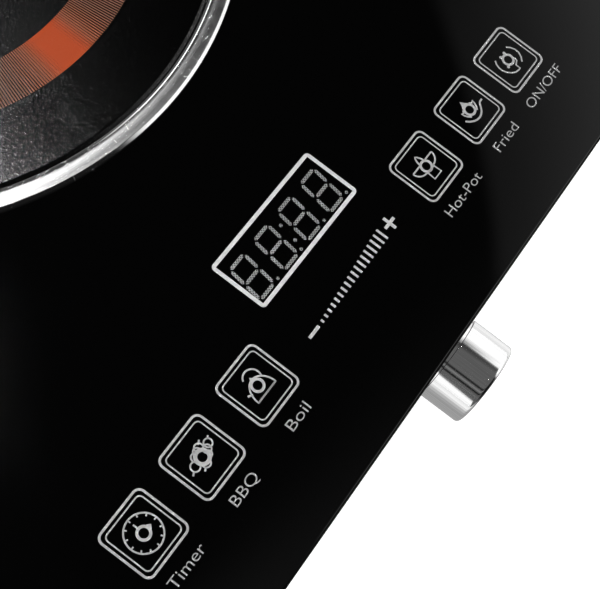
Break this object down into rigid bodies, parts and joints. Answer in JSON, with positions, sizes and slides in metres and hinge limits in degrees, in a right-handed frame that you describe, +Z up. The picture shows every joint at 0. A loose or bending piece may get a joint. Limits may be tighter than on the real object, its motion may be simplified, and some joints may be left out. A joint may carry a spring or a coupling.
{
  "type": "portable infrared hot plate",
  "caption": "Portable single-zone infrared hob: black glass top, round disc in a steel trim ring, touch keys, display window, front knob, housing with fan and feet.",
  "frame": {"origin": "centre of the whole part's box seen from above, on the table under the feet", "axes": "+X to the user's right along the front edge, +Y to the back, +Z up; the knob points to -Y"},
  "size_m": [0.29, 0.381, 0.0666],
  "materials": {
    "black_glass": "black toughened glass, polished, with a fine bevel",
    "glass_ceramic": "black glass-ceramic with a fine speckle and a printed orange marking",
    "ring_steel": "spun stainless steel, brushed round the ring",
    "seal_rubber": "black rubber",
    "silicone": "black silicone bead",
    "frame_plastic": "black moulded plastic, fine texture",
    "case_plastic": "black moulded plastic, fine texture",
    "knob_chrome": "satin chrome",
    "core_plastic": "grey nylon",
    "shaft_steel": "ground steel",
    "bush_brass": "turned brass",
    "encoder_shell": "pressed zinc-plated shell",
    "nut_steel": "nickel-plated",
    "board_laminate": "green solder mask on laminate",
    "spring_wire": "drawn spring wire",
    "lamp_resin": "clear to milky resin",
    "pad_foam": "conductive foam",
    "display_resin": "black resin block with milky segments",
    "screw_steel": "zinc-plated steel",
    "fan_plastic": "black glass-filled plastic",
    "copper_winding": "enamelled copper wire",
    "sink_aluminium": "extruded aluminium",
    "black_resin": "black moulded resin",
    "relay_case": "blue moulded case",
    "tape_yellow": "yellow winding tape on a ferrite core",
    "capacitor_case": "yellow moulded box",
    "capacitor_sleeve": "dark blue shrink sleeve",
    "terminal_plastic": "green nylon",
    "fuse_glass": "glass tube with plated caps in clips",
    "pan_steel": "aluminised sheet steel",
    "insulation": "pressed microporous silica",
    "element_alloy": "oxidised heating alloy strip",
    "ceramic_white": "fired steatite",
    "ribbon_sleeve": "grey flat cable",
    "lead_sleeve": "red silicone-insulated lead",
    "foot_rubber": "black rubber"
  },
  "bodies": {
    "casing": {"glass_panel": "black_glass", "cooking_disc": "glass_ceramic", "trim_ring": "ring_steel", "disc_seal": "seal_rubber", "panel_seal": "silicone", "glass_frame": "frame_plastic", "bottom_case": "case_plastic", "encoder_bushing": "bush_brass", "encoder_body": "encoder_shell", "encoder_nut": "nut_steel", "encoder_washer": "nut_steel", "encoder_board": "board_laminate", "control_board": "board_laminate", "touch_springs": "spring_wire", "key_lamps": "lamp_resin", "slider_pad": "pad_foam", "display_module": "display_resin", "control_board_screws": "screw_steel", "fan_frame": "fan_plastic", "fan_bearing": "bush_brass", "fan_stator": "copper_winding", "fan_screws": "screw_steel", "power_board": "board_laminate", "power_board_screws": "screw_steel", "heat_sink": "sink_aluminium", "triac": "black_resin", "relay": "relay_case", "transformer": "tape_yellow", "filter_choke": "copper_winding", "filter_capacitor": "capacitor_case", "storage_capacitors": "capacitor_sleeve", "terminal_block": "terminal_plastic", "fuse": "fuse_glass", "buzzer": "black_resin", "heater_pan": "pan_steel", "insulation_base": "insulation", "insulation_wall": "insulation", "outer_element": "element_alloy", "inner_element": "element_alloy", "cutout_rod": "ceramic_white", "cutout_head": "ceramic_white", "heater_terminals": "ceramic_white", "heater_springs": "spring_wire", "temperature_sensor": "ceramic_white", "heat_baffle": "pan_steel", "cord_gland": "seal_rubber", "ribbon_cable": "ribbon_sleeve", "heater_leads": "lead_sleeve", "case_screws": "screw_steel", "foot_screws": "screw_steel", "foot_front_left": "foot_rubber", "foot_front_right": "foot_rubber", "foot_rear_left": "foot_rubber", "foot_rear_right": "foot_rubber"},
    "knob": {"knob_shell": "knob_chrome", "knob_core": "core_plastic", "encoder_shaft": "shaft_steel"},
    "fan": {"fan_rotor": "fan_plastic", "fan_shaft": "shaft_steel"}
  },
  "joints": [
    {"name": "knob_turn", "type": "hinge", "parent": "casing", "child": "knob", "pos_m": [0, -0.1825, 0.044], "axis": [0, -1, 0], "continuous": true},
    {"name": "fan_spin", "type": "hinge", "parent": "casing", "child": "fan", "pos_m": [-0.086, -0.0995, 0.018], "axis": [0, 0, 1], "continuous": true}
  ]
}
